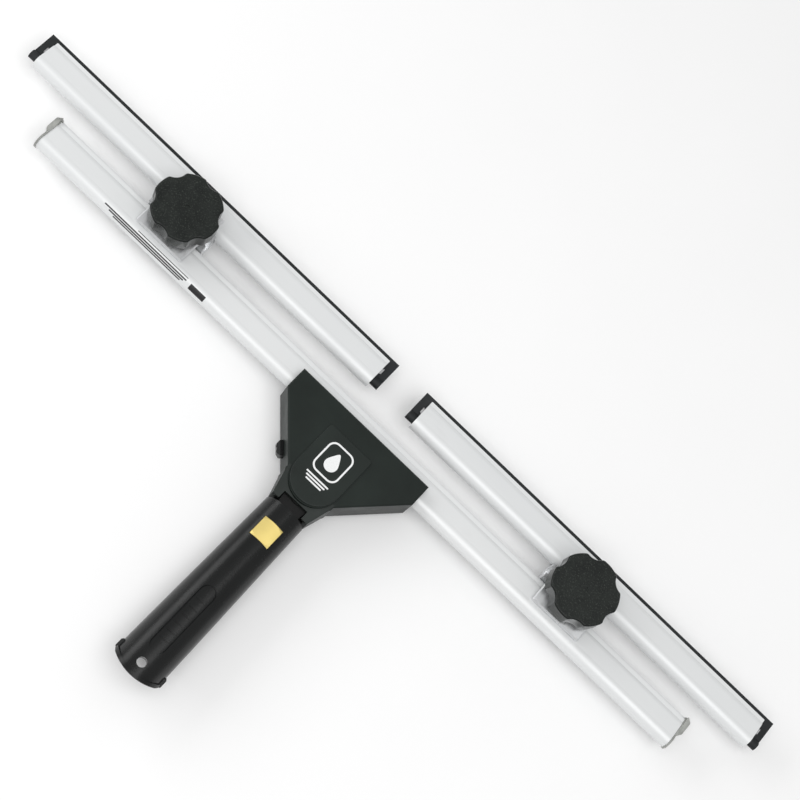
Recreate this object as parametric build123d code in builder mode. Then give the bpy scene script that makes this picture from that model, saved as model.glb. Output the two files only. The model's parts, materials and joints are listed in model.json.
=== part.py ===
from build123d import *
import os

# Adjustable window squeegee lying on its back: a long main channel runs through a handled head,
# and two blade channels ride ahead of it in clamp carriages with star knobs.
# Millimetres.  X runs along the channels, +Y points to the wiping edges, +Z is up.
# The origin is the centre of the bottom of the whole tool.

os.makedirs("parts", exist_ok=True)

# ---- overall layout -------------------------------------------------------------------------
LIP_Y = 103.0                 # reference line at the main channel's front lips
CHANNEL_TOP = 25.5            # height of the channel's top surface
BLADE_PITCH = 41.7            # from the main channel to the blade channels
CARRIAGE_X = {"left": -194.5, "right": 186.3}
BLADE_X = {"left": -183.8, "right": 183.8}
GAP = 0.3                     # space between pieces that move past each other
SEAT = 0.1                    # space between pieces of one body

# ---- channel extrusion ----------------------------------------------------------------------
MAIN_LENGTH = 604.0
BLADE_LENGTH = 326.0
CHANNEL_THICK = 12.5
MID = -CHANNEL_THICK / 2      # channel mid-plane, measured from the channel's top
BEAD_Y = -20.35               # centre of the round back
BEAD_R = CHANNEL_THICK / 2
CREASE_Y = -18.0              # where the round back meets the flat jaw
CREASE_DROP = 0.46
JAW_END_Y = -7.5
JAW_END_DROP = 2.1
LIP_ROOT_Y = -4.0
LIP_ROOT_DROP = 4.0
LIP_DROP = 4.25
UPPER_LIP_Y = -1.1
LOWER_LIP_Y = 1.0
SLOT = 2.0
BULB_Y = -19.9
BULB_CAVITY_R = 3.7
POCKET_BACK_Y = -15.0
POCKET_BACK_DROP = 2.75
POCKET_KNEE_Y = -8.2
POCKET_KNEE_DROP = 3.9
POCKET_FRONT_Y = -4.6

# ---- rubber ---------------------------------------------------------------------------------
RUBBER_LENGTH = 340.0
RUBBER_THICK = 1.8
RUBBER_EDGE_Y = 1.8
BULB_R = 3.4
GROOVE_R = 0.4                # on both faces, where the blade leaves the bulb

# ---- clamp carriage -------------------------------------------------------------------------
BOLT_Y = 8.05
JAW_LENGTH = 51.0
PLATE_LENGTH = 43.0
JAW_BACK_Y = -22.0
JAW_FRONT_Y = 36.0
JAW_THICK = 5.0
RIB_BACK_Y = 1.6
RIB_FRONT_Y = 14.5
FLUTE_R = 3.0
KEY_DEPTH = 0.5               # step under the top plate, between the channels
PLATE_BACK_Y = -17.2
PLATE_FRONT_Y = 28.4
PLATE_THICK = 2.5
BOLT_R = 4.0
BOLT_TOP = 17.0
BOLT_CAP_R = 8.0
WASHER_R = 15.0
WASHER_THICK = 1.6
KNOB_R = 25.7
KNOB_TOP = 21.0
KNOB_LOBES = 6
SCALLOP_R = 10.0
SCALLOP_DEPTH = 2.7
KNOB_TURN = {"left": 28.0, "right": 52.0}
KNOB_FLANGE_R = 20.4
KNOB_FLANGE_THICK = 2.6
INSERT_R = 6.5
INSERT_FLANGE_R = 8.0

# ---- head -----------------------------------------------------------------------------------
HEAD_HALF_DEPTH = 13.5        # above and below the channel's mid-plane
HEAD_HALF_WIDTH = 59.5
HEAD_FRONT_Y = -12.4
SHOULDER_Y = -30.1
TAPER_X = 21.5
TAPER_Y = -71.5
NECK_HALF_WIDTH = 16.0
NECK_Y = -91.5
CHEEK_Y = -85.5              # where the top and bottom cheeks end between the ears
EAR_X = 10.5
KNEE_R = 48.0
HEAD_WALL = 3.0
HUB_Y = -64.5
HUB_R = 19.5
HUB_FRONT_Y = -28.5
HUB_RISE = 1.2
BOSS_MARGIN = 0.8            # the head stays full height this far around the hub's round end
RAMP_Y = -70.0               # from here to the neck's end the head slopes down outside the boss
RAMP_KNEE_Y = -84.0
RAMP_KNEE_DROP = 3.0
RAMP_DROP = 4.8
PIVOT_Y = -76.0
PIN_R = 3.0
KNUCKLE_R = 11.5
KNUCKLE_HALF = 5.0
FORK_R = 13.0
FORK_HALF = 7.3
SCREW_SPOTS = [(-38.0, -40.5), (38.0, -40.5), (-17.0, -72.5), (17.0, -72.5)]
SCREW_R = 1.5
SCREW_HEAD_R = 2.8

# ---- release tab on the head's left flank ---------------------------------------------------
TAB_ALONG = 41.0              # distance along the flank from the shoulder
TAB_LENGTH = 11.2
TAB_HEIGHT = 8.0
TAB_OUT = 4.5
TAB_Z = -4.6                  # from the mid-plane
TAB_STROKE = 2.2

# ---- handle ---------------------------------------------------------------------------------
HANDLE_TOP_Y = -95.0
HANDLE_END_Y = -249.5
UNDER_END_Y = -223.0          # the grip's end is cut back underneath, down to here
HANDLE_TOP_R = 16.4
TOP_ROUND = 3.2
HANDLE_END_R = 18.9
END_ARC_R = 28.0
FLANGE_R = 20.2
FLANGE_THICK = 2.4
STEM_R = 10.9
STEM_END_Y = -138.0
STEM_BORE_R = 11.0
STEM_BORE_END_Y = -141.0
SOCKET_R = 12.9
SOCKET_END_Y = -160.0
HOLE_Y = -238.3
HOLE_R = 3.5
BUTTON_Y = -117.4
BUTTON_SIDE = 16.0
BUTTON_STROKE = 3.0
CAP_TOP = 17.3                # crown of the button above the handle's axis
CAP_BASE = 12.8
CROWN_R = 32.0
CROWN_RIM_R = 8.1             # the button's corners slope away outside this circle
CROWN_SKIRT_R = 15.9
PANEL_FROM_Y = -228.5
PANEL_TO_Y = -170.0
PANEL_WIDTH = 12.0
PANEL_DEPTH = 0.8


def level(height=0.0, x=0.0, y=0.0):
    """Horizontal plane at a height above the channel's top surface."""
    return Plane(origin=(x, LIP_Y + y, CHANNEL_TOP + height))


def across(x):
    """Cross-section plane of the channels: sketch x runs along +Y, sketch y along +Z."""
    return Plane(origin=(x, LIP_Y, CHANNEL_TOP), x_dir=(0, 1, 0), z_dir=(1, 0, 0))


def down_handle(y, height=MID):
    """Plane facing -Y: sketch x runs along +X, sketch y along +Z from the handle's axis."""
    return Plane(origin=(0, LIP_Y + y, CHANNEL_TOP + height), x_dir=(1, 0, 0), z_dir=(0, -1, 0))


def save(builder, label):
    builder.part.label = label
    export_step(builder.part, f"parts/{label}.step")


def channel_outline():
    """Outer outline of the extrusion: round back, flat jaws, upper and lower lips."""
    with BuildSketch(mode=Mode.PRIVATE) as outline:
        with Locations((BEAD_Y, MID)):
            Circle(BEAD_R)
        with BuildLine():
            top = Polyline(
                (BEAD_Y, MID),
                (CREASE_Y, -CREASE_DROP),
                (JAW_END_Y, -JAW_END_DROP),
            )
            shoulder = RadiusArc(top @ 1, (LIP_ROOT_Y, -LIP_ROOT_DROP), 7.0)
            lips = Polyline(
                shoulder @ 1,
                (UPPER_LIP_Y, -LIP_DROP),
                (UPPER_LIP_Y, MID),
                (LOWER_LIP_Y, MID),
                (LOWER_LIP_Y, LIP_DROP - CHANNEL_THICK),
                (LIP_ROOT_Y, LIP_ROOT_DROP - CHANNEL_THICK),
            )
            belly = RadiusArc(lips @ 1, (JAW_END_Y, JAW_END_DROP - CHANNEL_THICK), 7.0)
            Polyline(belly @ 1, (CREASE_Y, CREASE_DROP - CHANNEL_THICK), (BEAD_Y, MID))
        make_face()
    return outline.sketch


def channel_cavity():
    """Inside of the extrusion: bulb cavity, thin slot and a pocket above and below the rubber."""
    with BuildSketch(mode=Mode.PRIVATE) as cavity:
        with Locations((BULB_Y, MID)):
            Circle(BULB_CAVITY_R)
        with Locations(((BULB_Y + LOWER_LIP_Y + 1) / 2, MID)):
            Rectangle(LOWER_LIP_Y + 1 - BULB_Y, SLOT)
        with BuildLine():
            Polyline(
                (POCKET_BACK_Y, -POCKET_BACK_DROP),
                (POCKET_KNEE_Y, -POCKET_KNEE_DROP),
                (POCKET_FRONT_Y, MID + SLOT / 2),
                (POCKET_FRONT_Y, MID - SLOT / 2),
                (POCKET_KNEE_Y, POCKET_KNEE_DROP - CHANNEL_THICK),
                (POCKET_BACK_Y, POCKET_BACK_DROP - CHANNEL_THICK),
                close=True,
            )
        make_face()
    return cavity.sketch


# ---- main channel ---------------------------------------------------------------------------
GRUB_X = 292.0
GRUB_R = 1.5
GRUB_Y = -12.0
with BuildPart() as main_channel:
    with BuildSketch(across(0)):
        add(channel_outline())
        add(channel_cavity(), mode=Mode.SUBTRACT)
    extrude(amount=MAIN_LENGTH / 2, both=True)
    with BuildSketch(level(-CHANNEL_THICK)):
        with Locations((-GRUB_X, GRUB_Y), (GRUB_X, GRUB_Y)):
            Circle(GRUB_R)
    extrude(amount=CHANNEL_THICK / 2, mode=Mode.SUBTRACT)
save(main_channel, "main_channel")

# ---- end caps of the main channel: plate, thick front lobe and a plug in the extrusion ------
CAP_PLATE = 1.4
CAP_RIM = 0.6
CAP_LOBE = 4.2
CAP_PLUG = 14.0
for side, sign in (("left", -1), ("right", 1)):
    face_x = sign * (MAIN_LENGTH / 2 + SEAT)
    cap_plane = across(face_x)
    with BuildPart() as end_cap:
        with BuildSketch(cap_plane):
            add(channel_outline())
            offset(amount=CAP_RIM, kind=Kind.ARC)
        extrude(amount=sign * CAP_PLATE)
        with BuildSketch(level(-11.0)):
            with BuildLine():
                lobe_base = face_x + sign * CAP_PLATE / 2
                lobe_tip = face_x + sign * CAP_LOBE
                Polyline((lobe_base, -15.5), (lobe_tip, -12.0), (lobe_tip, -1.5), (lobe_base, 1.2), close=True)
            make_face()
        extrude(amount=9.3)
        lobe_edges = end_cap.edges().filter_by(Axis.Z).group_by(Axis.X)[-1 if sign > 0 else 0]
        fillet(lobe_edges, radius=1.8)
        with BuildSketch(cap_plane):
            with Locations((-11.8, MID)):
                Rectangle(5.6, 4.4)
        extrude(amount=-sign * CAP_PLUG)
        with BuildSketch(level(-CHANNEL_THICK)):
            with Locations((sign * GRUB_X, GRUB_Y)):
                Circle(GRUB_R)
        extrude(amount=7.0, mode=Mode.SUBTRACT)
    save(end_cap, f"end_cap_{side}")

# ---- two grub screws that hold the caps -----------------------------------------------------
GRUB_LENGTH = 5.5
with BuildPart() as grub_screws:
    with BuildSketch(level(-CHANNEL_THICK + 0.8)):
        with Locations((-GRUB_X, GRUB_Y), (GRUB_X, GRUB_Y)):
            Circle(GRUB_R - 0.02)
    extrude(amount=GRUB_LENGTH)
    with BuildSketch(level(-CHANNEL_THICK + 0.8)):
        with Locations((-GRUB_X, GRUB_Y), (GRUB_X, GRUB_Y)):
            RegularPolygon(0.8, 6)
    extrude(amount=1.2, mode=Mode.SUBTRACT)
save(grub_screws, "cap_grub_screws")

# ---- head: two halves that close on the channel and on the swivel ---------------------------


def head_outline(plane):
    """Straight ends, flanks that taper to the neck, and a rounded neck root."""
    with BuildSketch(plane, mode=Mode.PRIVATE) as outline:
        with BuildLine():
            Polyline(
                (HEAD_HALF_WIDTH, HEAD_FRONT_Y),
                (HEAD_HALF_WIDTH, SHOULDER_Y),
                (TAPER_X, TAPER_Y),
                (NECK_HALF_WIDTH, NECK_Y),
                (-NECK_HALF_WIDTH, NECK_Y),
                (-TAPER_X, TAPER_Y),
                (-HEAD_HALF_WIDTH, SHOULDER_Y),
                (-HEAD_HALF_WIDTH, HEAD_FRONT_Y),
                close=True,
            )
        make_face()
        knees = outline.vertices().filter_by(lambda v: abs(v.Y - plane.origin.Y - TAPER_Y) < 1)
        fillet(knees, radius=KNEE_R)
        shoulders = outline.vertices().filter_by(lambda v: abs(v.Y - plane.origin.Y - SHOULDER_Y) < 1)
        fillet(shoulders, radius=2.5)
    return outline.sketch


POCKET_REAR_Y = -36.0
POCKET_NARROW_Y = -60.0
POCKET_WIDE_X = 49.0
POCKET_NARROW_X = 27.0
BOSS_R = 4.4
MID_GAP = 0.05
FLANGE_X = 14.0
TAB_FLANGE = 1.4
TAB_GUIDE_R = 2.6
FLANK = (
    (HEAD_HALF_WIDTH - TAPER_X) / ((HEAD_HALF_WIDTH - TAPER_X) ** 2 + (TAPER_Y - SHOULDER_Y) ** 2) ** 0.5,
    (TAPER_Y - SHOULDER_Y) / ((HEAD_HALF_WIDTH - TAPER_X) ** 2 + (TAPER_Y - SHOULDER_Y) ** 2) ** 0.5,
)


def flank_plane(out=0.0):
    """Plane on the left flank: sketch x runs along the flank, sketch y along +Z, facing outward."""
    x_spot = -HEAD_HALF_WIDTH + FLANK[0] * TAB_ALONG + FLANK[1] * out
    y_spot = SHOULDER_Y + FLANK[1] * TAB_ALONG - FLANK[0] * out
    spot = (x_spot, LIP_Y + y_spot, CHANNEL_TOP + MID + TAB_Z)
    return Plane(origin=spot, x_dir=(FLANK[0], FLANK[1], 0), z_dir=(FLANK[1], -FLANK[0], 0))


def neck_ramp(sign):
    """Wedge above (or below) the neck, cut away everywhere but at the hub's round end."""
    face = MID + sign * HEAD_HALF_DEPTH
    with BuildPart() as ramp:
        with BuildSketch(across(0)):
            with BuildLine():
                Polyline(
                    (RAMP_Y, face),
                    (RAMP_KNEE_Y, face - sign * RAMP_KNEE_DROP),
                    (NECK_Y - 1, face - sign * RAMP_DROP),
                    (NECK_Y - 1, face + sign),
                    (RAMP_Y, face + sign),
                    close=True,
                )
            make_face()
        extrude(amount=HEAD_HALF_WIDTH, both=True)
        with BuildSketch(level(face - sign * 2 * RAMP_DROP)):
            with Locations((0, HUB_Y)):
                Circle(HUB_R + BOSS_MARGIN)
        extrude(amount=sign * 3 * RAMP_DROP, mode=Mode.SUBTRACT)
    return ramp.part


def head_half(upward):
    """One half of the head: shell with channel seat, hollow, fork for the knuckle and bosses."""
    sign = 1 if upward else -1
    split = MID + sign * MID_GAP
    depth = HEAD_HALF_DEPTH - MID_GAP
    with BuildPart() as half:
        add(head_outline(level(split)))
        extrude(amount=sign * depth)
        outer = half.faces().sort_by(Axis.Z)[-1 if upward else 0]
        chamfer(outer.edges(), length=1.0)
        add(neck_ramp(sign), mode=Mode.SUBTRACT)
        # hollow behind the channel
        with BuildSketch(level(split)):
            with BuildLine():
                Polyline(
                    (POCKET_WIDE_X, POCKET_REAR_Y),
                    (POCKET_NARROW_X, POCKET_NARROW_Y),
                    (-POCKET_NARROW_X, POCKET_NARROW_Y),
                    (-POCKET_WIDE_X, POCKET_REAR_Y),
                    close=True,
                )
            make_face()
        extrude(amount=sign * (depth - HEAD_WALL), mode=Mode.SUBTRACT)
        with BuildSketch(level(split)):
            with Locations(SCREW_SPOTS):
                Circle(BOSS_R)
        extrude(amount=sign * (depth - HEAD_WALL / 2))
        # seat for the main channel, open to the front
        with BuildSketch(across(0)):
            add(channel_outline())
            offset(amount=SEAT, kind=Kind.ARC)
        extrude(amount=HEAD_HALF_WIDTH + 1, both=True, mode=Mode.SUBTRACT)
        # fork: round pocket for the knuckle, opening toward the handle
        with BuildSketch(level(split)):
            with Locations((0, PIVOT_Y)):
                Circle(FORK_R)
            with Locations((0, (PIVOT_Y + NECK_Y - 2) / 2)):
                Rectangle(2 * FORK_R, PIVOT_Y - NECK_Y + 2)
        extrude(amount=sign * (FORK_HALF - MID_GAP), mode=Mode.SUBTRACT)
        with BuildSketch(level(split)):
            with Locations((0, PIVOT_Y)):
                Circle(PIN_R + 0.02)
        extrude(amount=sign * (depth - 1.5), mode=Mode.SUBTRACT)
        # each cheek stops short between two ears
        with BuildSketch(level(split)):
            with Locations((0, CHEEK_Y - 5)):
                Rectangle(2 * EAR_X, 10)
        extrude(amount=sign * depth, mode=Mode.SUBTRACT)
        # screw holes: clearance and sunk heads below, blind threads above
        with BuildSketch(level(split)):
            with Locations(SCREW_SPOTS):
                Circle(SCREW_R if upward else SCREW_R + 0.2)
        extrude(amount=sign * (8.0 if upward else depth), mode=Mode.SUBTRACT)
        if not upward:
            with BuildSketch(level(MID - HEAD_HALF_DEPTH)):
                with Locations(SCREW_SPOTS):
                    Circle(SCREW_HEAD_R + 0.2)
            extrude(amount=3.0, mode=Mode.SUBTRACT)
            # window for the release tab, room for its flange behind the wall and for its travel
            with BuildSketch(flank_plane(2.0)):
                Rectangle(TAB_LENGTH + 2 * GAP, TAB_HEIGHT + 2 * GAP)
            extrude(amount=-9.0, mode=Mode.SUBTRACT)
            with BuildSketch(flank_plane(-HEAD_WALL)):
                Rectangle(FLANGE_X + 2 * GAP, TAB_HEIGHT + 2 * GAP)
            extrude(amount=-6.0, mode=Mode.SUBTRACT)
    return half


head_top = head_half(True)
save(head_top, "head_top")

head_bottom = head_half(False)
save(head_bottom, "head_bottom")

# ---- case screws ----------------------------------------------------------------------------
SCREW_LENGTH = 16.0
SCREW_HEAD_THICK = 2.0
SCREW_BASE = MID - HEAD_HALF_DEPTH + 0.9
SCREW_CROSS = (3.2, 0.8, 1.2)  # length, width and depth of the driver's cross
with BuildPart() as head_screws:
    with BuildSketch(level(SCREW_BASE)):
        with Locations(SCREW_SPOTS):
            Circle(SCREW_HEAD_R)
    extrude(amount=SCREW_HEAD_THICK)
    chamfer(head_screws.edges().group_by(Axis.Z)[0], length=0.5)
    with BuildSketch(level(SCREW_BASE + SCREW_HEAD_THICK)):
        with Locations(SCREW_SPOTS):
            Circle(SCREW_R - 0.02)
    extrude(amount=SCREW_LENGTH)
    with BuildSketch(level(SCREW_BASE)):
        with Locations(SCREW_SPOTS):
            Rectangle(SCREW_CROSS[0], SCREW_CROSS[1])
            Rectangle(SCREW_CROSS[1], SCREW_CROSS[0])
    extrude(amount=SCREW_CROSS[2], mode=Mode.SUBTRACT)
save(head_screws, "head_screws")

# ---- raised hub plate on top of the head ----------------------------------------------------
HUB_TOP = MID + HEAD_HALF_DEPTH
with BuildPart() as hub_plate:
    with BuildSketch(level(HUB_TOP + 0.02)) as hub_plan:
        with Locations((0, (HUB_FRONT_Y + HUB_Y) / 2)):
            Rectangle(2 * HUB_R, HUB_FRONT_Y - HUB_Y)
        with Locations((0, HUB_Y)):
            Circle(HUB_R)
        fillet(hub_plan.vertices().group_by(Axis.Y)[-1], radius=2.0)
    extrude(amount=HUB_RISE)
    fillet(hub_plate.edges().group_by(Axis.Z)[-1], radius=0.6)
save(hub_plate, "hub_plate")

# ---- swivel pin, thrust washer and index plate ----------------------------------------------
PIN_HALF = 11.5
with BuildPart() as swivel_pin:
    with BuildSketch(level(MID - PIN_HALF, 0, PIVOT_Y)):
        Circle(PIN_R)
    extrude(amount=2 * PIN_HALF)
    chamfer(swivel_pin.edges().group_by(Axis.Z)[-1], length=0.4)
    chamfer(swivel_pin.edges().group_by(Axis.Z)[0], length=0.4)
save(swivel_pin, "swivel_pin")

RING_THICK = 1.8
with BuildPart() as thrust_washer:
    with BuildSketch(level(MID + KNUCKLE_HALF + GAP, 0, PIVOT_Y)):
        Circle(KNUCKLE_R - 1.5)
        Circle(PIN_R + 0.03, mode=Mode.SUBTRACT)
    extrude(amount=RING_THICK)
save(thrust_washer, "thrust_washer")

# the index plate has a tongue that reaches back to the handle's top and shields the knuckle
TONGUE_R = 18.6
TONGUE_X = 12.8
with BuildPart() as index_plate:
    with BuildSketch(level(MID - KNUCKLE_HALF - GAP, 0, PIVOT_Y)):
        Circle(TONGUE_R)
        with Locations((0, -TONGUE_R / 2)):
            Rectangle(2 * TONGUE_X, TONGUE_R, mode=Mode.INTERSECT)
        Circle(KNUCKLE_R - 0.5)
        Circle(PIN_R + 0.03, mode=Mode.SUBTRACT)
        with PolarLocations(KNUCKLE_R - 0.5, 5, start_angle=60, angular_range=60):
            Circle(1.0, mode=Mode.SUBTRACT)
    extrude(amount=-RING_THICK)
save(index_plate, "index_plate")

# ---- release tab: pushed in through the flank, kept in by its inner flange ------------------
with BuildPart() as release_tab:
    with BuildSketch(flank_plane(TAB_OUT)):
        Rectangle(TAB_LENGTH, TAB_HEIGHT)
    extrude(amount=-(TAB_OUT + HEAD_WALL + GAP + TAB_FLANGE))
    crown = release_tab.faces().sort_by(Axis((0, 0, 0), (FLANK[1], -FLANK[0], 0)))[-1]
    chamfer(crown.edges(), length=2.0)
    with BuildSketch(flank_plane(-HEAD_WALL - GAP)):
        Rectangle(FLANGE_X, TAB_HEIGHT)
    extrude(amount=-TAB_FLANGE)
    with BuildSketch(flank_plane(TAB_OUT)):
        with Locations((-1.8, 0), (1.8, 0)):
            Rectangle(0.8, TAB_HEIGHT - 4.0)
    extrude(amount=-0.5, mode=Mode.SUBTRACT)
    # spring pocket in the tab's inner end
    with BuildSketch(flank_plane(-HEAD_WALL - GAP - TAB_FLANGE)):
        Circle(TAB_GUIDE_R + 0.5)
    extrude(amount=4.5, mode=Mode.SUBTRACT)
save(release_tab, "release_tab")


def coil(plane, radius, length, wire, turns):
    """Compression spring standing on a plane, wound along the plane's normal."""
    with BuildPart() as spring:
        with BuildLine() as path:
            Helix(pitch=length / turns, height=length, radius=radius, center=plane.origin, direction=plane.z_dir)
        with BuildSketch(Plane(origin=path.wires()[0] @ 0, z_dir=path.wires()[0] % 0)):
            Circle(wire / 2)
        sweep(is_frenet=True)
    return spring


TAB_SPRING_BASE = HEAD_WALL + GAP + TAB_FLANGE + 3.4
tab_spring = coil(flank_plane(-TAB_SPRING_BASE), TAB_GUIDE_R - 0.3, 4.6, 0.6, 4)
save(tab_spring, "tab_spring")

# ---- handle shell: round grip with stem bore, pole socket, button window and hanging hole ----


def grip_profile(inset):
    """Half outline of the grip in the (radius, along) plane, sunk by an inset."""
    with BuildSketch(Plane(origin=(0, LIP_Y, CHANNEL_TOP + MID), x_dir=(1, 0, 0), z_dir=(0, 0, 1)),
                     mode=Mode.PRIVATE) as profile:
        with BuildLine():
            side = Spline(
                (HANDLE_TOP_R - inset, HANDLE_TOP_Y),
                (HANDLE_TOP_R + 0.5 - inset, HANDLE_TOP_Y - 30),
                (HANDLE_END_R - 0.8 - inset, HANDLE_END_Y + 60),
                (HANDLE_END_R - inset, HANDLE_END_Y),
            )
            Polyline(side @ 1, (0, HANDLE_END_Y), (0, HANDLE_TOP_Y), side @ 0)
        make_face()
    return profile.sketch


HANDLE_AXIS = Axis((0, LIP_Y, CHANNEL_TOP + MID), (0, 1, 0))
END_ARC_Y = HANDLE_END_Y + END_ARC_R
BAR_COUNT = 6
BAR_PITCH = 7.0
BAR_WIDTH = 2.0
BAR_LENGTH = 7.0

# shallow panel on the grip's top with plain raised bars
with BuildPart() as panel_cut:
    with BuildSketch(level(MID)):
        with Locations((0, (PANEL_FROM_Y + PANEL_TO_Y) / 2)):
            SlotOverall(PANEL_TO_Y - PANEL_FROM_Y, PANEL_WIDTH, rotation=90)
            with GridLocations(0, BAR_PITCH, 1, BAR_COUNT):
                Rectangle(BAR_LENGTH, BAR_WIDTH, mode=Mode.SUBTRACT)
    extrude(amount=HANDLE_END_R + 2)
    add(grip_profile(PANEL_DEPTH))
    revolve(axis=HANDLE_AXIS, mode=Mode.SUBTRACT)

# everything beyond the curved end of the grip, and the slanting cut under it
with BuildPart() as end_trim:
    with BuildSketch(level(MID - 25)):
        with Locations((0, HANDLE_END_Y)):
            Rectangle(60, 40)
        with Locations((0, END_ARC_Y)):
            Circle(END_ARC_R, mode=Mode.SUBTRACT)
    extrude(amount=50)
    with BuildSketch(across(0)):
        with BuildLine():
            Polyline(
                (HANDLE_END_Y, MID + HANDLE_END_R),
                (UNDER_END_Y, MID - HANDLE_END_R),
                (UNDER_END_Y, MID - HANDLE_END_R - 6),
                (HANDLE_END_Y - 6, MID - HANDLE_END_R - 6),
                (HANDLE_END_Y - 6, MID + HANDLE_END_R),
                close=True,
            )
        make_face()
    extrude(amount=30, both=True)

GROUND = -CHANNEL_TOP
REST_PAD_Y = -212.0
REST_PAD = (14.0, 11.0)
SIDE_TAB_CORNER_Y = HANDLE_END_Y + 9.6
SIDE_TAB_LENGTH = 7.6
SIDE_TAB_THICK = 6.0
with BuildPart() as handle_shell:
    add(grip_profile(0))
    revolve(axis=HANDLE_AXIS)
    fillet(handle_shell.edges().filter_by(GeomType.CIRCLE).group_by(Axis.Y)[-1], radius=TOP_ROUND)
    add(panel_cut.part, mode=Mode.SUBTRACT)
    # end flange and its two side tabs
    with BuildSketch(down_handle(HANDLE_END_Y + 22)):
        Circle(FLANGE_R)
    extrude(amount=24)
    with BuildSketch(level(MID - 25)):
        with Locations((0, END_ARC_Y)):
            Circle(END_ARC_R - FLANGE_THICK)
    extrude(amount=50, mode=Mode.SUBTRACT)
    add(grip_profile(0))
    revolve(axis=HANDLE_AXIS)
    add(panel_cut.part, mode=Mode.SUBTRACT)
    for side in (-1, 1):
        with BuildSketch(level(MID - 1)):
            with BuildLine():
                Polyline(
                    (side * (HANDLE_END_R - 2), SIDE_TAB_CORNER_Y - 2),
                    (side * FLANGE_R, SIDE_TAB_CORNER_Y - 2),
                    (side * FLANGE_R, SIDE_TAB_CORNER_Y + SIDE_TAB_LENGTH - 1.5),
                    (side * (FLANGE_R - 1), SIDE_TAB_CORNER_Y + SIDE_TAB_LENGTH),
                    (side * (HANDLE_END_R - 2), SIDE_TAB_CORNER_Y + SIDE_TAB_LENGTH),
                    close=True,
                )
            make_face()
        extrude(amount=SIDE_TAB_THICK)
    add(end_trim.part, mode=Mode.SUBTRACT)
    # flat pad that the grip rests on
    with BuildSketch(level(GROUND)):
        with Locations((0, REST_PAD_Y)):
            RectangleRounded(*REST_PAD, 2.0)
    extrude(amount=2.5)
    # bores
    with BuildSketch(down_handle(HANDLE_TOP_Y + 1)):
        Circle(STEM_BORE_R)
    extrude(amount=HANDLE_TOP_Y + 1 - STEM_BORE_END_Y, mode=Mode.SUBTRACT)
    with BuildSketch(down_handle(SOCKET_END_Y)):
        Circle(SOCKET_R)
    extrude(amount=SOCKET_END_Y - HANDLE_END_Y + 1, mode=Mode.SUBTRACT)
    # button window
    with BuildSketch(level(MID, 0, BUTTON_Y)):
        Rectangle(BUTTON_SIDE + 2 * GAP, BUTTON_SIDE + 2 * GAP)
    extrude(amount=HANDLE_END_R + 2, mode=Mode.SUBTRACT)
    # hanging hole through the top wall
    with BuildSketch(level(MID, 0, HOLE_Y)):
        Circle(HOLE_R)
    extrude(amount=HANDLE_END_R + 2, mode=Mode.SUBTRACT)
save(handle_shell, "handle_shell")

# ---- swivel stem: knuckle on the pin, neck, and a round plug inside the handle ---------------
STEM_ROOT_X = 11.0            # half width beside the pin
STEM_NECK_X = 9.2             # half width where the neck leaves the head
STEM_TAPER_Y = -80.0
POCKET_SIDE = 12.0
POCKET_FLOOR = 1.0
with BuildPart() as swivel_stem:
    with BuildSketch(level(MID - KNUCKLE_HALF)):
        with Locations((0, PIVOT_Y)):
            Circle(KNUCKLE_R)
        with BuildLine():
            Polyline(
                (STEM_ROOT_X, PIVOT_Y),
                (STEM_ROOT_X, STEM_TAPER_Y),
                (STEM_NECK_X, NECK_Y),
                (STEM_NECK_X, HANDLE_TOP_Y),
                (-STEM_NECK_X, HANDLE_TOP_Y),
                (-STEM_NECK_X, NECK_Y),
                (-STEM_ROOT_X, STEM_TAPER_Y),
                (-STEM_ROOT_X, PIVOT_Y),
                close=True,
            )
        make_face()
    extrude(amount=2 * KNUCKLE_HALF)
    with BuildSketch(down_handle(HANDLE_TOP_Y)):
        Circle(STEM_R)
    extrude(amount=HANDLE_TOP_Y - STEM_END_Y)
    chamfer(swivel_stem.edges().group_by(Axis.Y)[0], length=1.0)
    with BuildSketch(level(MID - KNUCKLE_HALF - 1)):
        with Locations((0, PIVOT_Y)):
            Circle(PIN_R + 0.05)
    extrude(amount=2 * KNUCKLE_HALF + 2, mode=Mode.SUBTRACT)
    # flat seat under the button's cap, square pocket for its plunger and spring
    with BuildSketch(level(MID + CAP_BASE - BUTTON_STROKE - GAP, 0, BUTTON_Y)):
        Rectangle(BUTTON_SIDE + 2 * GAP, BUTTON_SIDE + 2 * GAP)
    extrude(amount=STEM_R, mode=Mode.SUBTRACT)
    with BuildSketch(level(MID - POCKET_FLOOR, 0, BUTTON_Y)):
        Rectangle(POCKET_SIDE, POCKET_SIDE)
    extrude(amount=STEM_R + 2, mode=Mode.SUBTRACT)
save(swivel_stem, "swivel_stem")

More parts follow.
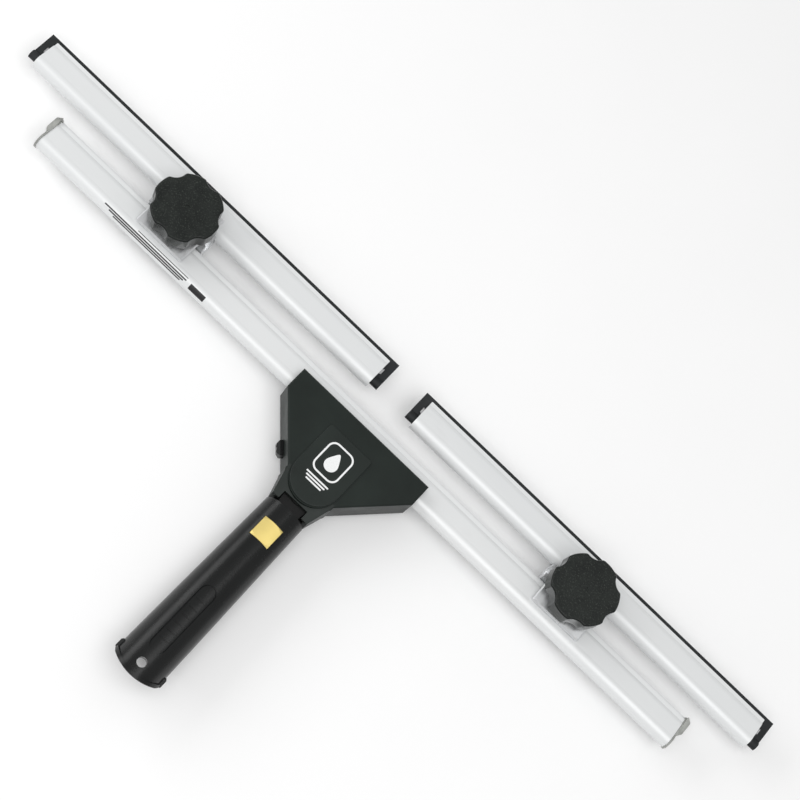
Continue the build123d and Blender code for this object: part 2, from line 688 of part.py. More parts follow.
# ---- lock button: square cap with a low crown, hollow plunger below --------------------------
CAP_THICK = CAP_TOP - CAP_BASE
PLUNGER_SIDE = 11.2
PLUNGER_LENGTH = 9.0
PLUNGER_HOLLOW_R = 4.4
with BuildPart() as lock_button:
    with BuildSketch(down_handle(BUTTON_Y + BUTTON_SIDE / 2)):
        with Locations((0, CAP_TOP - CROWN_R)):
            Circle(CROWN_R)
        with Locations((0, CAP_BASE + CAP_THICK)):
            Rectangle(BUTTON_SIDE, 2 * CAP_THICK, mode=Mode.INTERSECT)
    extrude(amount=BUTTON_SIDE)
    with Locations(level(MID + CAP_BASE, 0, BUTTON_Y)):
        Cone(CROWN_SKIRT_R, CROWN_RIM_R, CAP_THICK, align=(Align.CENTER, Align.CENTER, Align.MIN), mode=Mode.INTERSECT)
    with BuildSketch(level(MID + CAP_BASE, 0, BUTTON_Y)):
        Rectangle(PLUNGER_SIDE, PLUNGER_SIDE)
    extrude(amount=-PLUNGER_LENGTH)
    with BuildSketch(level(MID + CAP_BASE - PLUNGER_LENGTH, 0, BUTTON_Y)):
        Circle(PLUNGER_HOLLOW_R)
    extrude(amount=PLUNGER_LENGTH, mode=Mode.SUBTRACT)
save(lock_button, "lock_button")

BUTTON_SPRING_LENGTH = 8.6
button_spring = coil(level(MID - POCKET_FLOOR + 0.35, 0, BUTTON_Y), 3.4, BUTTON_SPRING_LENGTH, 0.7, 5)
save(button_spring, "button_spring")

# ---- clamp carriages, knobs and blades ------------------------------------------------------


def lower_jaw(x):
    """Block under both channels with a rib that rises into the gap between them."""
    with BuildPart() as jaw:
        with BuildSketch(level(-CHANNEL_THICK - GAP, x)):
            with Locations((0, (JAW_BACK_Y + JAW_FRONT_Y) / 2)):
                RectangleRounded(JAW_LENGTH, JAW_FRONT_Y - JAW_BACK_Y, 3.0)
        extrude(amount=-JAW_THICK)
        chamfer(jaw.edges().group_by(Axis.Z)[0], length=1.0)
        with BuildSketch(level(-CHANNEL_THICK - GAP, x)):
            with Locations((0, (RIB_BACK_Y + RIB_FRONT_Y) / 2)):
                Rectangle(JAW_LENGTH, RIB_FRONT_Y - RIB_BACK_Y)
        extrude(amount=CHANNEL_THICK + GAP - KEY_DEPTH)
        # flutes down the rib's two end faces
        with BuildSketch(level(-CHANNEL_THICK, x)):
            with Locations((-JAW_LENGTH / 2, BOLT_Y), (JAW_LENGTH / 2, BOLT_Y)):
                Circle(FLUTE_R)
        extrude(amount=CHANNEL_THICK, mode=Mode.SUBTRACT)
        with BuildSketch(level(-CHANNEL_THICK - GAP - JAW_THICK, x)):
            with Locations((0, BOLT_Y)):
                Circle(BOLT_R + 0.02)
        extrude(amount=CHANNEL_THICK + JAW_THICK + GAP, mode=Mode.SUBTRACT)
    return jaw


def clamp_bolt(x):
    """Bolt with a broad cap that the tool stands on."""
    cap_top = -CHANNEL_THICK - GAP - JAW_THICK - SEAT
    with BuildPart() as bolt:
        with BuildSketch(level(GROUND, x)):
            with Locations((0, BOLT_Y)):
                Circle(BOLT_CAP_R)
        extrude(amount=cap_top - GROUND)
        chamfer(bolt.edges().group_by(Axis.Z)[0], length=1.2)
        fillet(bolt.edges().group_by(Axis.Z)[-1], radius=0.6)
        with BuildSketch(level(cap_top, x)):
            with Locations((0, BOLT_Y)):
                Circle(BOLT_R)
        extrude(amount=BOLT_TOP - cap_top)
        chamfer(bolt.edges().group_by(Axis.Z)[-1], length=0.6)
    return bolt


def top_plate(x):
    """Bright plate over both channels with a bevelled rim and a key between the channels."""
    underside = GAP
    with BuildPart() as plate:
        with BuildSketch(level(underside, x)) as plan:
            with Locations((0, (PLATE_BACK_Y + PLATE_FRONT_Y) / 2)):
                RectangleRounded(PLATE_LENGTH, PLATE_FRONT_Y - PLATE_BACK_Y, 1.2)
        extrude(amount=PLATE_THICK)
        chamfer(plate.edges().group_by(Axis.Z)[-1], length=0.9)
        with BuildSketch(level(underside, x)):
            with Locations((0, (RIB_BACK_Y + RIB_FRONT_Y) / 2)):
                Rectangle(PLATE_LENGTH - 6, RIB_FRONT_Y - RIB_BACK_Y - 4)
        extrude(amount=-KEY_DEPTH)
        with BuildSketch(level(underside - 1, x)):
            with Locations((0, BOLT_Y)):
                Circle(BOLT_R + 0.3)
        extrude(amount=PLATE_THICK + 2, mode=Mode.SUBTRACT)
    return plate


WASHER_BASE = GAP + PLATE_THICK + GAP
KNOB_BASE = WASHER_BASE + WASHER_THICK + GAP


def knob_washer(x):
    """Plain ring between the top plate and the knob."""
    with BuildPart() as washer:
        with BuildSketch(level(WASHER_BASE, x)):
            with Locations((0, BOLT_Y)):
                Circle(WASHER_R)
                Circle(BOLT_R + 0.3, mode=Mode.SUBTRACT)
        extrude(amount=WASHER_THICK)
        chamfer(washer.edges().group_by(Axis.Z)[-1], length=0.3)
    return washer


def star_knob(x, turn):
    """Six-lobed knob on a round base flange, hollow below for the threaded insert."""
    centre = (0, BOLT_Y)
    with BuildPart() as knob:
        with BuildSketch(level(KNOB_BASE, x)):
            with Locations(centre):
                Circle(KNOB_FLANGE_R)
        extrude(amount=KNOB_FLANGE_THICK)
        fillet(knob.edges().group_by(Axis.Z)[0], radius=0.6)
        with BuildSketch(level(KNOB_BASE + KNOB_FLANGE_THICK, x)) as star:
            with Locations(centre):
                Circle(KNOB_R)
                with PolarLocations(KNOB_R + SCALLOP_R - SCALLOP_DEPTH, KNOB_LOBES, start_angle=turn):
                    Circle(SCALLOP_R, mode=Mode.SUBTRACT)
            fillet(star.vertices(), radius=3.0)
        extrude(amount=KNOB_TOP - KNOB_BASE - KNOB_FLANGE_THICK)
        fillet(knob.edges().group_by(Axis.Z)[-1], radius=1.4)
        with BuildSketch(level(KNOB_TOP, x)):
            with Locations(centre):
                Circle(1.6)
        extrude(amount=-0.5, mode=Mode.SUBTRACT)
        # pocket for the insert and clearance above it
        with BuildSketch(level(KNOB_BASE, x)):
            with Locations(centre):
                Circle(INSERT_FLANGE_R + 0.02)
        extrude(amount=1.6, mode=Mode.SUBTRACT)
        with BuildSketch(level(KNOB_BASE, x)):
            with Locations(centre):
                Circle(INSERT_R + 0.02)
        extrude(amount=BOLT_TOP - KNOB_BASE, mode=Mode.SUBTRACT)
    return knob


def knob_insert(x):
    """Flanged eight-sided nut pressed into the knob."""
    with BuildPart() as insert:
        with BuildSketch(level(KNOB_BASE, x)):
            with Locations((0, BOLT_Y)):
                Circle(INSERT_FLANGE_R)
        extrude(amount=1.5)
        with BuildSketch(level(KNOB_BASE, x)):
            with Locations((0, BOLT_Y)):
                RegularPolygon(INSERT_R, 8)
        extrude(amount=BOLT_TOP - KNOB_BASE - 0.4)
        with BuildSketch(level(KNOB_BASE, x)):
            with Locations((0, BOLT_Y)):
                Circle(BOLT_R + 0.05)
        extrude(amount=BOLT_TOP - KNOB_BASE, mode=Mode.SUBTRACT)
    return insert


CORNER_CUT = 3.0
CLIP_X = 6.0
CLIP_OUT = 1.6
CLIP_THICK = 0.8
CLIP_Y = -11.5
CLIP_WIDTH = 4.5
CLIP_HOOK = 2.2


def blade_channel(x):
    """Length of the same extrusion as the main channel, with rounded front corners."""
    with BuildPart() as channel:
        with BuildSketch(across(x)):
            with Locations((BLADE_PITCH, 0)):
                add(channel_outline())
                add(channel_cavity(), mode=Mode.SUBTRACT)
        extrude(amount=BLADE_LENGTH / 2, both=True)
        # rounded front corners of the lips
        with BuildSketch(level(-CHANNEL_THICK, x)) as corners:
            with Locations((0, BLADE_PITCH + LOWER_LIP_Y - CORNER_CUT)):
                Rectangle(BLADE_LENGTH + 4, 2 * CORNER_CUT)
            with Locations((0, BLADE_PITCH + LOWER_LIP_Y - CORNER_CUT)):
                RectangleRounded(BLADE_LENGTH, 2 * CORNER_CUT, CORNER_CUT - 0.1, mode=Mode.SUBTRACT)
            with Locations((0, BLADE_PITCH + LOWER_LIP_Y - 1.5 * CORNER_CUT)):
                Rectangle(BLADE_LENGTH + 4, CORNER_CUT, mode=Mode.SUBTRACT)
        extrude(amount=CHANNEL_THICK, mode=Mode.SUBTRACT)
    return channel


def blade_rubber(x):
    """Rubber strip: bulb with a shallow neck groove and a flat blade with square edges."""
    with BuildPart() as rubber:
        with BuildSketch(across(x)):
            with Locations((BLADE_PITCH + BULB_Y, MID)):
                Circle(BULB_R)
            with Locations((BLADE_PITCH + (BULB_Y + RUBBER_EDGE_Y) / 2, MID)):
                Rectangle(RUBBER_EDGE_Y - BULB_Y, RUBBER_THICK)
            neck_y = BLADE_PITCH + BULB_Y + BULB_R + GROOVE_R
            with Locations((neck_y, MID + RUBBER_THICK / 2), (neck_y, MID - RUBBER_THICK / 2)):
                Circle(GROOVE_R, mode=Mode.SUBTRACT)
        extrude(amount=RUBBER_LENGTH / 2, both=True)
    return rubber


def rubber_clips(x):
    """Two small spring clips pushed in over the rubber at the channel's ends."""
    low = MID + RUBBER_THICK / 2
    with BuildPart() as clips:
        for sign in (-1, 1):
            end = sign * BLADE_LENGTH / 2
            with BuildSketch(Plane(origin=(x + end, LIP_Y + BLADE_PITCH + CLIP_Y, CHANNEL_TOP),
                                   x_dir=(1, 0, 0), z_dir=(0, -1, 0))):
                with BuildLine():
                    Polyline(
                        (-sign * CLIP_X, low + 0.1),
                        (sign * CLIP_OUT, low + 0.1),
                        (sign * CLIP_OUT, low + CLIP_HOOK),
                        (sign * (CLIP_OUT - CLIP_THICK), low + CLIP_HOOK),
                        (sign * (CLIP_OUT - CLIP_THICK), low + 0.1 + CLIP_THICK),
                        (-sign * CLIP_X, low + 0.1 + CLIP_THICK),
                        close=True,
                    )
                make_face()
            extrude(amount=CLIP_WIDTH / 2, both=True)
    return clips


for side in ("left", "right"):
    clamp_x = CARRIAGE_X[side]
    blade_x = BLADE_X[side]
    save(lower_jaw(clamp_x), f"lower_jaw_{side}")
    save(clamp_bolt(clamp_x), f"clamp_bolt_{side}")
    save(top_plate(clamp_x), f"top_plate_{side}")
    save(knob_washer(clamp_x), f"knob_washer_{side}")
    save(star_knob(clamp_x, KNOB_TURN[side]), f"knob_{side}")
    save(knob_insert(clamp_x), f"knob_insert_{side}")
    save(blade_channel(blade_x), f"blade_channel_{side}")
    save(blade_rubber(blade_x), f"blade_rubber_{side}")
    save(rubber_clips(blade_x), f"rubber_clips_{side}")
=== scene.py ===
import bpy
import json
from math import cos, pi, radians, sin
from mathutils import Matrix, Vector


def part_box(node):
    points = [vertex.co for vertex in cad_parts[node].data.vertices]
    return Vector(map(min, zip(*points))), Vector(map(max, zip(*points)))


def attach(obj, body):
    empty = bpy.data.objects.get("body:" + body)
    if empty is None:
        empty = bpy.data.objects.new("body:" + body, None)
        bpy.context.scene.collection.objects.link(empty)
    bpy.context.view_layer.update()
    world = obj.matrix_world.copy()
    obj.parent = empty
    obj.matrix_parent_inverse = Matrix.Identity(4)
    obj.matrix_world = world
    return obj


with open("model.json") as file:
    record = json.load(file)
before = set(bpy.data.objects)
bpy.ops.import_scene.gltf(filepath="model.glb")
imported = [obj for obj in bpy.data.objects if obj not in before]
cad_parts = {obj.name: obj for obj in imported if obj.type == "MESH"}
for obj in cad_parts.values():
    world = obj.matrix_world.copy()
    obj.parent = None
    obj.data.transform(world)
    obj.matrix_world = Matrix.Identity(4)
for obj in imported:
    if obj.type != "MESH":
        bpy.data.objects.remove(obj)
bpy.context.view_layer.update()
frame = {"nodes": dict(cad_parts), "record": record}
nodes = frame["nodes"]

MM = 0.001
LOWER_LIP = 1.0 * MM    # the channel's lower lip stands this far in front of the lip line

# ---- places read from the frame ----
channel_low, channel_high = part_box("main_channel")
hub_low, hub_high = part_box("hub_plate")
CHANNEL_TOP = channel_high.z
BEAD_R = (channel_high.z - channel_low.z) / 2
BEAD_Y = channel_low.y + BEAD_R
BEAD_Z = CHANNEL_TOP - BEAD_R
LIP_Y = channel_high.y - LOWER_LIP


# ---- material kit ----
class Look:
    """A node material with a Principled surface and object-space coordinates."""

    def __init__(self, name):
        self.material = bpy.data.materials.new(name)
        self.material.use_nodes = True
        self.tree = self.material.node_tree
        self.shader = self.tree.nodes["Principled BSDF"]
        self.place = self.tree.nodes.new("ShaderNodeTexCoord").outputs["Object"]

    def link(self, source, target):
        self.tree.links.new(source, target)

    def set(self, **values):
        for key, value in values.items():
            self.shader.inputs[key.replace("_", " ")].default_value = value

    def stretched(self, scale):
        mapping = self.tree.nodes.new("ShaderNodeMapping")
        mapping.inputs["Scale"].default_value = scale
        self.link(self.place, mapping.inputs["Vector"])
        return mapping.outputs["Vector"]

    def noise(self, scale, detail=4.0, roughness=0.55, stretch=(1, 1, 1)):
        texture = self.tree.nodes.new("ShaderNodeTexNoise")
        texture.inputs["Scale"].default_value = scale
        texture.inputs["Detail"].default_value = detail
        texture.inputs["Roughness"].default_value = roughness
        self.link(self.stretched(stretch), texture.inputs["Vector"])
        return texture.outputs["Fac"]

    def cells(self, scale, stretch=(1, 1, 1)):
        texture = self.tree.nodes.new("ShaderNodeTexVoronoi")
        texture.inputs["Scale"].default_value = scale
        self.link(self.stretched(stretch), texture.inputs["Vector"])
        return texture.outputs["Distance"]

    def ramp(self, source, low, high, start, end):
        """Maps a value from [start, end] to [low, high], clamped."""
        node = self.tree.nodes.new("ShaderNodeMapRange")
        node.inputs["From Min"].default_value = start
        node.inputs["From Max"].default_value = end
        node.inputs["To Min"].default_value = low
        node.inputs["To Max"].default_value = high
        self.link(source, node.inputs["Value"])
        return node.outputs["Result"]

    def blend(self, fac, first, second):
        node = self.tree.nodes.new("ShaderNodeMix")
        node.data_type = "RGBA"
        self.link(fac, node.inputs["Factor"])
        for socket, value in ((node.inputs["A"], first), (node.inputs["B"], second)):
            if isinstance(value, bpy.types.NodeSocket):
                self.link(value, socket)
            else:
                socket.default_value = (*value, 1.0)
        return node.outputs["Result"]

    def math(self, operation, first, second):
        node = self.tree.nodes.new("ShaderNodeMath")
        node.operation = operation
        for socket, value in zip(node.inputs, (first, second)):
            if isinstance(value, bpy.types.NodeSocket):
                self.link(value, socket)
            else:
                socket.default_value = value
        return node.outputs["Value"]

    def bumps(self, *layers):
        """Chained bump nodes; each layer is (height source, strength, depth in metres)."""
        previous = None
        for source, strength, depth in layers:
            node = self.tree.nodes.new("ShaderNodeBump")
            node.inputs["Strength"].default_value = strength
            node.inputs["Distance"].default_value = depth
            self.link(source, node.inputs["Height"])
            if previous is not None:
                self.link(previous, node.inputs["Normal"])
            previous = node.outputs["Normal"]
        self.link(previous, self.shader.inputs["Normal"])

    def color(self, source):
        self.link(source, self.shader.inputs["Base Color"])

    def rough(self, source):
        self.link(source, self.shader.inputs["Roughness"])

    def up_facing(self):
        """1 where the surface faces +Z in object space, 0 on walls."""
        split = self.tree.nodes.new("ShaderNodeSeparateXYZ")
        coordinates = self.tree.nodes.new("ShaderNodeTexCoord")
        self.link(coordinates.outputs["Normal"], split.inputs["Vector"])
        return split.outputs["Z"]


def moulded_black(name, tone, shine_low, shine_high, grain, grain_depth, specular):
    """Black moulded plastic: fine spark-eroded grain, faint mottling and rubbed patches."""
    look = Look(name)
    patches = look.noise(28, detail=6)
    scuffs = look.noise(240, detail=3, stretch=(1, 0.25, 1))
    lighter = tuple(c * 1.5 + 0.002 for c in tone)
    look.color(look.blend(look.ramp(patches, 0, 1, 0.35, 0.7), tone, lighter))
    worn = look.ramp(patches, 0, 1, 0.35, 0.65)
    rubbed = look.math("MULTIPLY", worn, look.ramp(scuffs, 0.4, 1, 0.3, 0.7))
    look.rough(look.ramp(rubbed, shine_high, shine_low, 0, 1))
    look.bumps((look.cells(grain), 0.5, grain_depth), (look.noise(grain * 0.4), 0.4, grain_depth))
    look.set(Specular_IOR_Level=specular)
    return look


def coated_aluminium(name):
    """Off-white satin coat: slight orange peel, long drawing lines and faint handling marks."""
    look = Look(name)
    haze = look.noise(14, detail=5, stretch=(0.25, 1, 1))
    lines = look.noise(900, detail=2, stretch=(0.01, 1, 1))
    marks = look.noise(70, detail=6, stretch=(0.3, 1, 1))
    base = look.blend(look.ramp(haze, 0, 1, 0.3, 0.7), (0.72, 0.735, 0.74), (0.77, 0.78, 0.78))
    look.color(look.blend(look.ramp(marks, 0, 0.35, 0.62, 0.8), base, (0.62, 0.63, 0.63)))
    look.rough(look.ramp(marks, 0.3, 0.46, 0.3, 0.75))
    look.bumps((lines, 0.2, 0.00002), (look.noise(700, detail=1), 0.25, 0.00003))
    look.set(Metallic=0.1, Coat_Weight=0.12, Coat_Roughness=0.25, Specular_IOR_Level=0.35)
    return look


def bright_metal(name, tone, dark, roughness, brush, metallic=1.0):
    """Machined metal: brushing along one direction, uneven shine and a few dull spots."""
    look = Look(name)
    strokes = look.noise(500, detail=3, stretch=brush)
    spots = look.noise(90, detail=6)
    look.color(look.blend(look.ramp(spots, 0, 0.6, 0.45, 0.8), tone, dark))
    dulled = look.ramp(spots, 0, 0.1, 0.4, 0.8)
    shine = look.math("ADD", look.ramp(strokes, -0.06, 0.1, 0.3, 0.7), dulled)
    look.rough(look.math("ADD", shine, roughness))
    look.bumps((strokes, 0.25, 0.00003))
    look.set(Metallic=metallic)
    return look


def black_rubber(name):
    """Matt rubber with fine grain, dust and faint marks along the strip."""
    look = Look(name)
    dust = look.noise(60, detail=7)
    grain = look.noise(1500, detail=2)
    look.color(look.blend(look.ramp(dust, 0, 1, 0.4, 0.75), (0.011, 0.013, 0.014), (0.024, 0.026, 0.028)))
    look.rough(look.ramp(dust, 0.5, 0.72, 0.3, 0.7))
    look.bumps((grain, 0.4, 0.00004), (look.noise(120, stretch=(0.05, 1, 1)), 0.3, 0.00008))
    look.set(Specular_IOR_Level=0.3)
    return look


def knob_plastic(name):
    """Star knob: textured crown with small painted glints (lighter specks painted into the colour on
    up-facing faces), smoother glossy flanks.
    """
    look = Look(name)
    crown = look.ramp(look.up_facing(), 0, 1, 0.75, 0.95)
    mottle = look.noise(120, detail=5)
    plain = look.blend(look.ramp(mottle, 0, 1, 0.35, 0.7), (0.004, 0.006, 0.005), (0.01, 0.013, 0.011))
    # painted highlight: small specks on the up-facing crown stand in for glints of light off the grain
    painted_glint_specks = look.ramp(look.noise(900, detail=2, roughness=0.7), 0, 1, 0.57, 0.66)
    painted_glints = look.math("MULTIPLY", crown, painted_glint_specks)
    # the lighter colour of the specks is a painted highlight, not a fleck in the plastic
    look.color(look.blend(painted_glints, plain, (0.032, 0.038, 0.032)))
    satin = look.ramp(mottle, 0.4, 0.55, 0.3, 0.7)
    gloss = look.ramp(mottle, 0.1, 0.2, 0.3, 0.7)
    keep = look.math("MULTIPLY", crown, satin)
    rest = look.math("MULTIPLY", look.math("SUBTRACT", 1.0, crown), gloss)
    look.rough(look.math("ADD", keep, rest))
    grain = look.math("MULTIPLY", look.cells(900), look.ramp(crown, 0.15, 1, 0, 1))
    look.bumps((grain, 0.8, 0.0002))
    look.set(Specular_IOR_Level=0.28)
    return look


def cloudy_plastic(name):
    """Milky, partly clear plastic with uneven cloud and shine."""
    look = Look(name)
    cloud = look.noise(160, detail=6)
    look.color(look.blend(look.ramp(cloud, 0, 1, 0.3, 0.7), (0.36, 0.37, 0.35), (0.58, 0.59, 0.56)))
    look.rough(look.ramp(cloud, 0.25, 0.5, 0.3, 0.7))
    look.bumps((look.noise(500), 0.3, 0.00005))
    look.set(Transmission_Weight=0.45, IOR=1.49)
    return look


def ink(name, tone):
    """Screen-printed ink with pinholes and slightly uneven cover."""
    look = Look(name)
    cover = look.noise(1800, detail=3)
    darker = tuple(c * 0.86 for c in tone)
    look.color(look.blend(look.ramp(cover, 0, 1, 0.4, 0.7), tone, darker))
    look.rough(look.ramp(cover, 0.38, 0.55, 0.3, 0.7))
    look.bumps((cover, 0.4, 0.00003))
    return look


looks = {
    "head_plastic": moulded_black("head_plastic", (0.008, 0.012, 0.01), 0.34, 0.46, 1500, 0.00005, 0.22),
    "hub_plastic": moulded_black("hub_plastic", (0.01, 0.014, 0.012), 0.3, 0.42, 1700, 0.00004, 0.25),
    "handle_plastic": moulded_black("handle_plastic", (0.004, 0.0045, 0.0045), 0.22, 0.3, 1300, 0.00005, 0.3),
    "stem_plastic": moulded_black("stem_plastic", (0.003, 0.003, 0.003), 0.4, 0.6, 1200, 0.00005, 0.3),
    "button_brass": bright_metal("button_brass", (0.84, 0.67, 0.23), (0.74, 0.58, 0.19), 0.36,
                                 (0.03, 1, 1), 0.6),
    "steel": bright_metal("steel", (0.6, 0.6, 0.6), (0.42, 0.42, 0.42), 0.3, (1, 1, 0.05)),
    "spring_steel": bright_metal("spring_steel", (0.72, 0.72, 0.73), (0.55, 0.55, 0.56), 0.18, (1, 1, 1)),
    "channel_coat": coated_aluminium("channel_coat"),
    "cap_plastic": cloudy_plastic("cap_plastic"),
    "carriage_aluminium": bright_metal("carriage_aluminium", (0.74, 0.75, 0.76), (0.64, 0.65, 0.66), 0.3,
                                       (1, 0.03, 1), 0.75),
    "knob_plastic": knob_plastic("knob_plastic"),
    "insert_brass": bright_metal("insert_brass", (0.75, 0.58, 0.26), (0.6, 0.45, 0.2), 0.28, (1, 1, 0.05)),
    "rubber": black_rubber("rubber"),
}
for part in frame["record"]["subparts"]:
    node = nodes[part["node"]]
    look = looks[part["material_slot"]]
    if not node.data.materials:
        node.data.materials.append(look.material)
    for index in range(len(node.data.materials)):
        node.data.materials[index] = look.material


# ---- printed marks, plain generic shapes ----
INK_RISE = 0.06 * MM
white_ink = ink("white_ink", (0.86, 0.87, 0.87))
black_ink = ink("black_ink", (0.012, 0.012, 0.013))


def mesh_piece(name, verts, faces, look, body):
    """Flat-shaded object that rides on a body."""
    mesh = bpy.data.meshes.new(name)
    mesh.from_pydata(verts, [], faces)
    mesh.update()
    for polygon in mesh.polygons:
        polygon.use_smooth = False
    piece = bpy.data.objects.new(name, mesh)
    bpy.context.scene.collection.objects.link(piece)
    mesh.materials.append(look.material)
    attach(piece, body)
    return piece


def ribbon(outer, inner, base, rise):
    """Closed band between two loops of (x, y) points, standing on z = base."""
    count = len(outer)
    verts = [(x, y, base) for x, y in outer] + [(x, y, base) for x, y in inner]
    verts += [(x, y, base + rise) for x, y in outer] + [(x, y, base + rise) for x, y in inner]
    faces = []
    for i in range(count):
        j = (i + 1) % count
        faces.append((i, j, 2 * count + j, 2 * count + i))
        faces.append((count + j, count + i, 3 * count + i, 3 * count + j))
        faces.append((2 * count + i, 2 * count + j, 3 * count + j, 3 * count + i))
        faces.append((j, i, count + i, count + j))
    return verts, faces


def plate(loop, base, rise):
    """Solid prism over one loop of (x, y) points."""
    count = len(loop)
    verts = [(x, y, base) for x, y in loop] + [(x, y, base + rise) for x, y in loop]
    faces = [tuple(reversed(range(count))), tuple(range(count, 2 * count))]
    faces += [(i, (i + 1) % count, count + (i + 1) % count, count + i) for i in range(count)]
    return verts, faces


def rounded_rect(cx, cy, width, height, radius, steps=8):
    loop = []
    for qx, qy, start in ((1, 1, 0), (-1, 1, 90), (-1, -1, 180), (1, -1, 270)):
        for k in range(steps + 1):
            angle = radians(start + 90 * k / steps)
            loop.append((cx + qx * (width / 2 - radius) + radius * cos(angle),
                         cy + qy * (height / 2 - radius) + radius * sin(angle)))
    return loop


def join(parts):
    verts, faces = [], []
    for part_verts, part_faces in parts:
        start = len(verts)
        verts += part_verts
        faces += [tuple(i + start for i in face) for face in part_faces]
    return verts, faces


def drop_loop(cx, cy, radius, steps=48):
    """Outline of a falling water drop with its tip towards +Y."""
    loop = []
    for k in range(steps):
        angle = 2 * pi * k / steps - pi / 2
        lift = max(0.0, sin(angle)) ** 3
        x = cx + radius * cos(angle) * (1 - 0.35 * lift)
        y = cy + radius * sin(angle) + radius * 0.9 * lift
        loop.append((x, y))
    return loop


hub_top = hub_high.z
hub_x = (hub_low.x + hub_high.x) / 2
MARK_Y = hub_high.y - 20 * MM
FRAME_OUTER = (22 * MM, 26 * MM, 6 * MM)        # width, height, corner radius
FRAME_INNER = (19.4 * MM, 23.4 * MM, 4.8 * MM)
DROP_R = 5.2 * MM
DROP_Y = MARK_Y - 2.4 * MM
STRIPE_COUNT = 3
STRIPE_Y = MARK_Y - 16.6 * MM
STRIPE_PITCH = 2.2 * MM
STRIPE_LENGTH = 20 * MM
STRIPE_STEP = 3 * MM                            # each stripe is this much shorter
STRIPE_THICK = 1.2 * MM
STRIPE_CORNER = 0.55 * MM
hub_mark = [
    ribbon(rounded_rect(hub_x, MARK_Y, *FRAME_OUTER), rounded_rect(hub_x, MARK_Y, *FRAME_INNER),
           hub_top, INK_RISE),
    plate(drop_loop(hub_x, DROP_Y, DROP_R), hub_top, INK_RISE),
]
for k in range(STRIPE_COUNT):
    stripe = rounded_rect(hub_x, STRIPE_Y - k * STRIPE_PITCH, STRIPE_LENGTH - k * STRIPE_STEP,
                          STRIPE_THICK, STRIPE_CORNER)
    hub_mark.append(plate(stripe, hub_top, INK_RISE))
verts, faces = join(hub_mark)
mesh_piece("hub_print", verts, faces, white_ink, "head")


def wrapped(x_from, x_to, turn_from, turn_to, across=6):
    """Thin curved plate on the channel's round back; turns are degrees from +Z towards -Y."""
    verts = []
    for radius in (BEAD_R, BEAD_R + INK_RISE):
        for x in (x_from, x_to):
            for k in range(across + 1):
                angle = radians(turn_from + (turn_to - turn_from) * k / across)
                verts.append((x, BEAD_Y - radius * sin(angle), BEAD_Z + radius * cos(angle)))
    row = across + 1
    faces = []
    for k in range(across):
        faces.append((k, row + k, row + k + 1, k + 1))
        top = 2 * row
        faces.append((top + k, top + k + 1, top + row + k + 1, top + row + k))
    for a, b in ((0, 2 * row), (row, 3 * row)):
        for k in range(across):
            quad = (a + k, a + k + 1, b + k + 1, b + k)
            faces.append(quad if a == 0 else tuple(reversed(quad)))
    faces.append((0, 2 * row, 3 * row, row))
    faces.append((across, row + across, 3 * row + across, 2 * row + across))
    return verts, faces


PRINT_FROM = -239 * MM
PRINT_TO = -161 * MM
THIN_FROM = -209 * MM
BLOCK = (-157 * MM, -143 * MM)
BAND_COUNT = 3
BAND_TURN = 24          # degrees round the channel's back where the first band starts
BAND_PITCH = 15
BAND_WIDE = 9
band = [wrapped(THIN_FROM, PRINT_TO, 8, 13)]
for k in range(BAND_COUNT):
    turn = BAND_TURN + BAND_PITCH * k
    band.append(wrapped(PRINT_FROM + 5 * k * MM, PRINT_TO - 2 * k * MM, turn, turn + BAND_WIDE))
band.append(wrapped(*BLOCK, 20, 62))
verts, faces = join(band)
mesh_piece("channel_print", verts, faces, black_ink, "head")

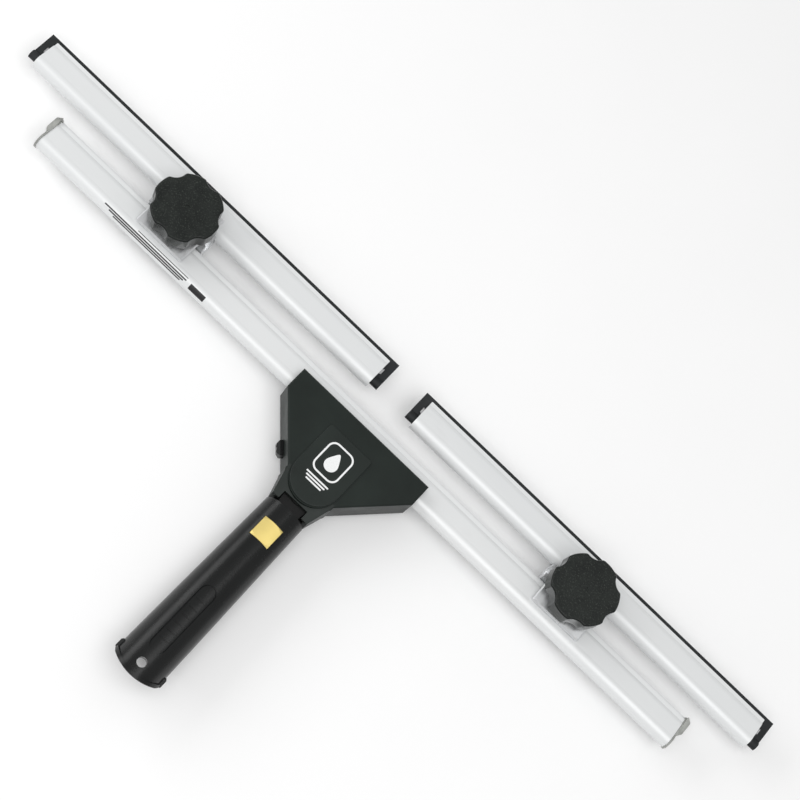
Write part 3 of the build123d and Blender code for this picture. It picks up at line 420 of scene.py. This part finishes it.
# ---- floor ----
FLOOR_SIZE = 6.0
floor_mesh = bpy.data.meshes.new("floor")
half = FLOOR_SIZE / 2
corners = [(-half, -half, 0), (half, -half, 0), (half, half, 0), (-half, half, 0)]
floor_mesh.from_pydata(corners, [], [(0, 1, 2, 3)])
floor = bpy.data.objects.new("floor", floor_mesh)
bpy.context.scene.collection.objects.link(floor)
floor_look = Look("floor_paper")
paper = floor_look.noise(6, detail=3)
floor_look.color(floor_look.blend(paper, (0.9, 0.9, 0.9), (0.93, 0.93, 0.93)))
floor_look.set(Roughness=0.9, Specular_IOR_Level=0.1)
floor_mesh.materials.append(floor_look.material)

# ---- light ----
world = bpy.data.worlds.new("studio")
bpy.context.scene.world = world
world.use_nodes = True
sky = world.node_tree.nodes["Background"]
sky.inputs["Color"].default_value = (1.0, 1.0, 1.0, 1.0)
sky.inputs["Strength"].default_value = 0.5


def softbox(name, place, aim, size, power):
    """Rectangular area light that faces a point."""
    data = bpy.data.lights.new(name, "AREA")
    data.shape = "RECTANGLE"
    data.size, data.size_y = size
    data.energy = power
    lamp = bpy.data.objects.new(name, data)
    bpy.context.scene.collection.objects.link(lamp)
    lamp.location = place
    lamp.rotation_euler = (Vector(aim) - Vector(place)).to_track_quat("-Z", "Y").to_euler()


softbox("front_box", (0.3, -0.55, 2.2), (0, 0, 0), (2.4, 1.8), 31)
softbox("left_box", (-1.6, -0.1, 0.9), (0, 0, 0), (1.8, 0.8), 12)

# ---- camera ----
SENSOR = 36.0
LENS = 82.98
ELEVATION = radians(67.5)
ROLL = radians(43.77)
DISTANCE = 1.296
AIM_X = 3.3 * MM
AIM_AHEAD = 22.6 * MM   # the view's centre is this far in front of the main channel's lips
aim = Vector((AIM_X, LIP_Y + AIM_AHEAD, CHANNEL_TOP))
away = Vector((0, -cos(ELEVATION), sin(ELEVATION)))
side = Vector((1, 0, 0))
rise = Vector((0, sin(ELEVATION), cos(ELEVATION)))
image_right = cos(ROLL) * side + sin(ROLL) * rise
image_up = cos(ROLL) * rise - sin(ROLL) * side
camera_data = bpy.data.cameras.new("camera")
camera_data.sensor_width = SENSOR
camera_data.lens = LENS
camera_data.clip_end = 20
camera = bpy.data.objects.new("camera", camera_data)
bpy.context.scene.collection.objects.link(camera)
camera.matrix_world = Matrix((
    (image_right.x, image_up.x, away.x, aim.x + DISTANCE * away.x),
    (image_right.y, image_up.y, away.y, aim.y + DISTANCE * away.y),
    (image_right.z, image_up.z, away.z, aim.z + DISTANCE * away.z),
    (0, 0, 0, 1),
))
bpy.context.scene.camera = camera
bpy.context.scene.view_settings.view_transform = "Standard"
